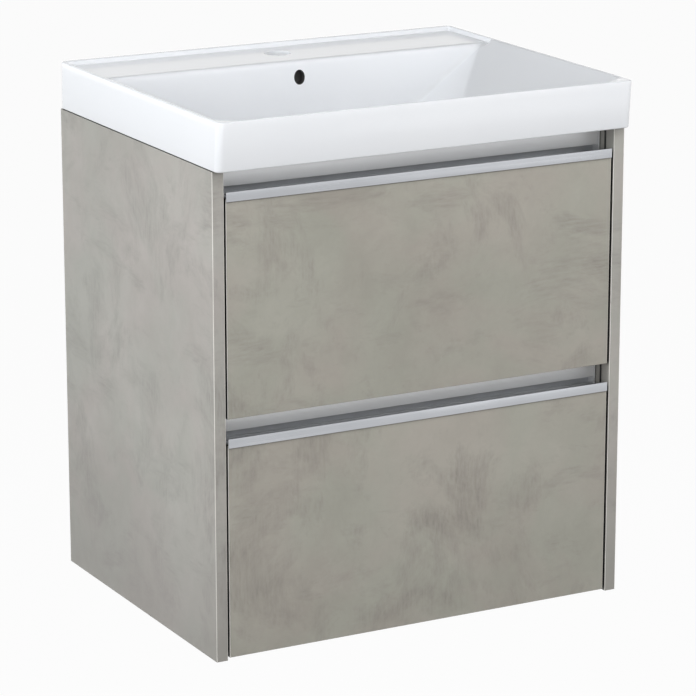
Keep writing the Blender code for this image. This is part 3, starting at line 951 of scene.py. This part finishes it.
def screwGroup(name, spots, body):
    bm = bmesh.new()
    for place, facing in spots:
        addScrew(bm, place, facing)
    finishPiece(name, bm, "zinc", body)


def innerOuter(node, side):
    # a node's faces towards and away from the middle of the cabinet
    low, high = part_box(node)
    near, far = sorted((abs(low.x), abs(high.x)))
    return side * near, side * far


def drawerScrews(level):
    body = level + "_drawer"
    low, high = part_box(level + "_handle_profile")
    spots = [((x, high.y, low.z + fixings["handleUp"]), (0, 1, 0)) for x in fixings["handleAcross"]]
    screwGroup(level + "_handle_screws", spots, body)
    for side, word in leftRight:
        node = level + "_front_bracket_" + word
        low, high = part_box(node)
        inner, outer = innerOuter(node, side)
        gauge = screw["sheet"]
        heights = (low.z + fixings["bracketEnds"], high.z - fixings["bracketEnds"])
        across = inner + side * fixings["bracketIn"]
        back = high.y - fixings["bracketBack"]
        spots = [((across, low.y + gauge, z), (0, 1, 0)) for z in heights]
        spots += [((outer - side * gauge, back, z), (-side, 0, 0)) for z in heights]
        screwGroup(level + "_bracket_screws_" + word, spots, body)
        node = level + "_drawer_side_" + word
        low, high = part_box(node)
        across = innerOuter(node, side)[0] - side * fixings["backIn"]
        heights = (low.z + fixings["backUp"], high.z - fixings["backDown"])
        spots = [((across, high.y, z), (0, 1, 0)) for z in heights]
        screwGroup(level + "_back_screws_" + word, spots, body)


def runnerScrews(level):
    for side, word in leftRight:
        node = level + "_runner_cabinet_" + word
        low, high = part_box(node)
        face = innerOuter(node, side)[1] - side * screw["sheet"]
        height = high.z - fixings["runnerDown"]
        spots = [((face, high.y - back, height), (-side, 0, 0)) for back in fixings["runnerBack"]]
        screwGroup(level + "_runner_screws_" + word, spots, "cabinet")


def sideCovers(level):
    # the oval cover over the front's adjusters, on the inside of each drawer side
    for side, word in leftRight:
        node = level + "_drawer_side_" + word
        low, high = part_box(node)
        place = (innerOuter(node, side)[0], low.y + cover["ovalBack"], high.z - cover["ovalDown"])
        bm = bmesh.new()
        addCover(bm, place, (-side, 0, 0), cover["oval"])
        name = level + "_adjuster_cover_" + word
        finishPiece(name, bm, "greyPlastic", level + "_drawer")


def runnerClips(level):
    # the catch under the drawer that holds it on its runner, with a ribbed release tongue
    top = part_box(level + "_drawer_side_left")[0].z + clip["floorUp"]
    foot = top - clip["thick"]
    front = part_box(level + "_front_panel")[1].y + clip["behindFront"]
    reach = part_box("side_panel_right")[0].x - clip["fromSide"]
    start = front + tongue["start"]
    for side, word in leftRight:
        near, far = sorted((side * reach, side * (reach - clip["width"])))
        middle = (near + far) / 2
        bm = bmesh.new()
        addBlock(bm, (near, front, foot), (far, front + clip["length"], top), clip["ease"])
        addBlock(bm, (middle - tongue["half"], start, foot - tongue["drop"]),
                 (middle + tongue["half"], start + tongue["length"], foot - 0.0001), tongue["ease"])
        for i in range(tongue["ribs"]):
            rib = start + tongue["ribStart"] + i * tongue["ribPitch"]
            addBlock(bm, (middle - tongue["ribHalf"], rib, foot - tongue["ribDrop"]),
                     (middle + tongue["ribHalf"], rib + tongue["ribThick"], foot - tongue["drop"] - 0.0001),
                     tongue["ribEase"])
        name = level + "_runner_clip_" + word
        finishPiece(name, bm, "greyPlastic", level + "_drawer")


def camCovers():
    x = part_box("side_panel_right")[0].x - cover["fromSide"]
    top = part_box("bottom_panel")[1].z
    onBottom = [(side * x, y, top) for side, word in leftRight for y in cover["onBottom"]]
    spots = {"bottom": [(place, (0, 0, 1)) for place in onBottom]}
    rails = (("rear", "bottom", 0), ("rear", "top", 1), ("front", "top", 1), ("front", "middle", 1))
    for place, level, end in rails:     # end 0 is a rail's front face, and end 1 its rear face
        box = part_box(place + "_rail_" + level)
        height = (box[0].z + box[1].z) / 2
        facing = (0, 2 * end - 1, 0)
        spots[place + "_" + level] = [((side * x, box[end].y, height), facing) for side, word in leftRight]
    for key, places in spots.items():
        bm = bmesh.new()
        for place, facing in places:
            addCover(bm, place, facing)
        finishPiece("cam_covers_" + key, bm, "greyPlastic", "cabinet")


def frontBumpers():
    low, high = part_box("lower_front_panel")
    bm = bmesh.new()
    for side, word in leftRight:
        place = (side * bumper["across"], high.y, low.z + bumper["up"])
        addTurned(bm, bumper["profile"], place, (0, 1, 0))
    finishPiece("lower_front_bumpers", bm, "greyPlastic", "lower_drawer")


def sealLips():
    # a rubber bead, round on the side that faces the fronts' gap
    for side, word in leftRight:
        low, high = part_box("edge_seal_" + word)
        base = innerOuter("edge_seal_" + word, side)[1]
        tall = abs(high.x - low.x)
        half = (high.y - low.y) / 2
        middle = (low.y + high.y) / 2
        turns = [math.pi * i / 12 for i in range(13)]
        outline = [(base - side * tall * math.sin(a), middle + half * math.cos(a)) for a in turns]
        bm = bmesh.new()
        rings = [[bm.verts.new((x, y, z)) for x, y in outline] for z in (low.z, high.z)]
        for i in range(len(outline)):
            j = (i + 1) % len(outline)
            bm.faces.new((rings[0][i], rings[0][j], rings[1][j], rings[1][i]))
        bm.faces.new(rings[0])
        bm.faces.new(rings[1])
        finishPiece("edge_seal_lip_" + word, bm, "seal", "cabinet", "edge_seal_" + word)


def threadProfile(radius, length):
    core, crest, pitch = radius * thread["core"], radius * thread["crest"], thread["pitch"]
    ridges = int(length * thread["share"] / pitch)
    profile = [(core, 0.0)]
    for i in range(ridges):
        profile += [(core, i * pitch + 0.0002), (crest, i * pitch + 0.00055)]
    neck = ridges * pitch + 0.0004
    profile += [(core, neck), (radius, neck + 0.0003), (radius, length - 0.0006)]
    steps = 14
    for i in range(1, steps + 1):
        profile.append((radius * (1 - i / (steps + 0.4)), length - 0.0004 * (1 - i / steps)))
    return profile


def adjusterScrews():
    # the hanging hook's height screw, with its threaded shank
    for side, word in leftRight:
        node = "bracket_adjuster_" + word
        low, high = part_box(node)
        end = ((low.x + high.x) / 2, high.y, (low.z + high.z) / 2)
        bm = bmesh.new()
        addTurned(bm, threadProfile((high.z - low.z) / 2, high.y - low.y), end, (0, -1, 0), segments=48)
        finishPiece(node + "_threaded", bm, "zinc", "cabinet", node)


for level in ("upper", "lower"):
    drawerScrews(level)
    runnerScrews(level)
    sideCovers(level)
    runnerClips(level)
camCovers()
frontBumpers()
sealLips()
adjusterScrews()
print("small hardware made")


# studio

studio = {
    "floorDrop": 0.42,      # from the cabinet's lower edge to the floor
    "floorHalf": 40.0,
    "floorColour": (0.93, 0.93, 0.93),
    "floorBounce": (0.45, 0.45, 0.45),
    "floorGlow": 0.955,
    "floorGloss": 0.80,
    "horizon": 1.54,        # sky brightness at the horizon, fading to none overhead
    "skyFade": 0.6,
    "aim": (0, -0.2, -0.1),
    "leftTint": (0.965, 0.985, 1.0),
    "lights": [
        # name, place, size, energy, seen in gloss
        ("leftSoft", (-3.2, -0.9, 0.9), (2.4, 2.4), 34.0, False),
        ("leftNear", (-1.9, -0.5, 1.2), (1.2, 1.2), 19.4, False),
        ("frontNear", (0.2, -1.8, 1.5), (1.4, 0.9), 13.6, False),
        ("rightNear", (1.5, -1.9, 1.0), (1.2, 1.0), 11.6, False),
        ("frontLow", (-0.8, -2.4, 0.12), (1.6, 0.7), 5.4, False),
        ("rightCard", (1.75, -2.7, -0.62), (1.2, 0.66), 1.0, True),
    ],
}


def floorFinish():
    # bright where it is seen, dimmer in what it throws back, and clear from below
    material, tree, shader = startFinish("studioFloor", {"Roughness": 0.9})
    path = addNode(tree, "ShaderNodeLightPath").outputs
    inGloss = mathNode(tree, "MULTIPLY", path["Is Glossy Ray"], studio["floorGloss"])
    light = mathNode(tree, "MAXIMUM", path["Is Camera Ray"], inGloss)
    colour = blendColour(tree, light, studio["floorBounce"], studio["floorColour"])
    tree.links.new(colour, shader.inputs["Base Color"])
    glow = addNode(tree, "ShaderNodeEmission", {"Color": (1, 1, 1, 1), "Strength": 1.0})
    shown = addNode(tree, "ShaderNodeMixShader", {0: mathNode(tree, "MULTIPLY", light, studio["floorGlow"])})
    tree.links.new(shader.outputs[0], shown.inputs[1])
    tree.links.new(glow.outputs[0], shown.inputs[2])
    clear = addNode(tree, "ShaderNodeBsdfTransparent")
    facing = addNode(tree, "ShaderNodeNewGeometry").outputs["Backfacing"]
    mixed = addNode(tree, "ShaderNodeMixShader", {0: facing})
    tree.links.new(shown.outputs[0], mixed.inputs[1])
    tree.links.new(clear.outputs[0], mixed.inputs[2])
    tree.links.new(mixed.outputs[0], tree.nodes["Material Output"].inputs[0])
    return material


def makeFloor():
    half = studio["floorHalf"]
    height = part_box("side_panel_left")[0].z - studio["floorDrop"]
    corners = [(x * half, y * half, height) for x, y in ((-1, -1), (1, -1), (1, 1), (-1, 1))]
    mesh = bpy.data.meshes.new("studioFloor")
    mesh.from_pydata(corners, [], [(0, 1, 2, 3)])
    mesh.materials.append(floorFinish())
    floor = bpy.data.objects.new("studioFloor", mesh)
    bpy.context.scene.collection.objects.link(floor)


def makeLights():
    for name, place, size, energy, inGloss in studio["lights"]:
        data = bpy.data.lights.new(name, "AREA")
        data.shape = "RECTANGLE"
        data.size, data.size_y = size
        data.energy = energy
        data.color = studio["leftTint"] if name.startswith("left") else (1, 1, 1)
        light = bpy.data.objects.new(name, data)
        light.location = place
        light.rotation_euler = (Vector(studio["aim"]) - Vector(place)).to_track_quat("-Z", "Y").to_euler()
        light.visible_glossy = inGloss
        light.visible_diffuse = not name.endswith("Card")  # a card shows in the gloss alone
        bpy.context.scene.collection.objects.link(light)


def makeSky():
    # plain white behind the object, and a glow that fades upwards for everything else
    world = bpy.data.worlds.new("studioWorld")
    world.use_nodes = True
    tree = world.node_tree
    sky = tree.nodes["Background"]
    seen = addNode(tree, "ShaderNodeLightPath").outputs["Is Camera Ray"]
    direction = addNode(tree, "ShaderNodeTexCoord").outputs["Generated"]
    height = addNode(tree, "ShaderNodeSeparateXYZ", {"Vector": direction}).outputs["Z"]
    glow = remap(tree, height, 0.0, studio["skyFade"], studio["horizon"], 0.0)
    tree.links.new(mathNode(tree, "MAXIMUM", glow, seen), sky.inputs["Strength"])
    sky.inputs["Color"].default_value = (1, 1, 1, 1)
    bpy.context.scene.world = world
    bpy.context.scene.view_settings.view_transform = "Standard"


makeFloor()
makeLights()
makeSky()
print("studio set")
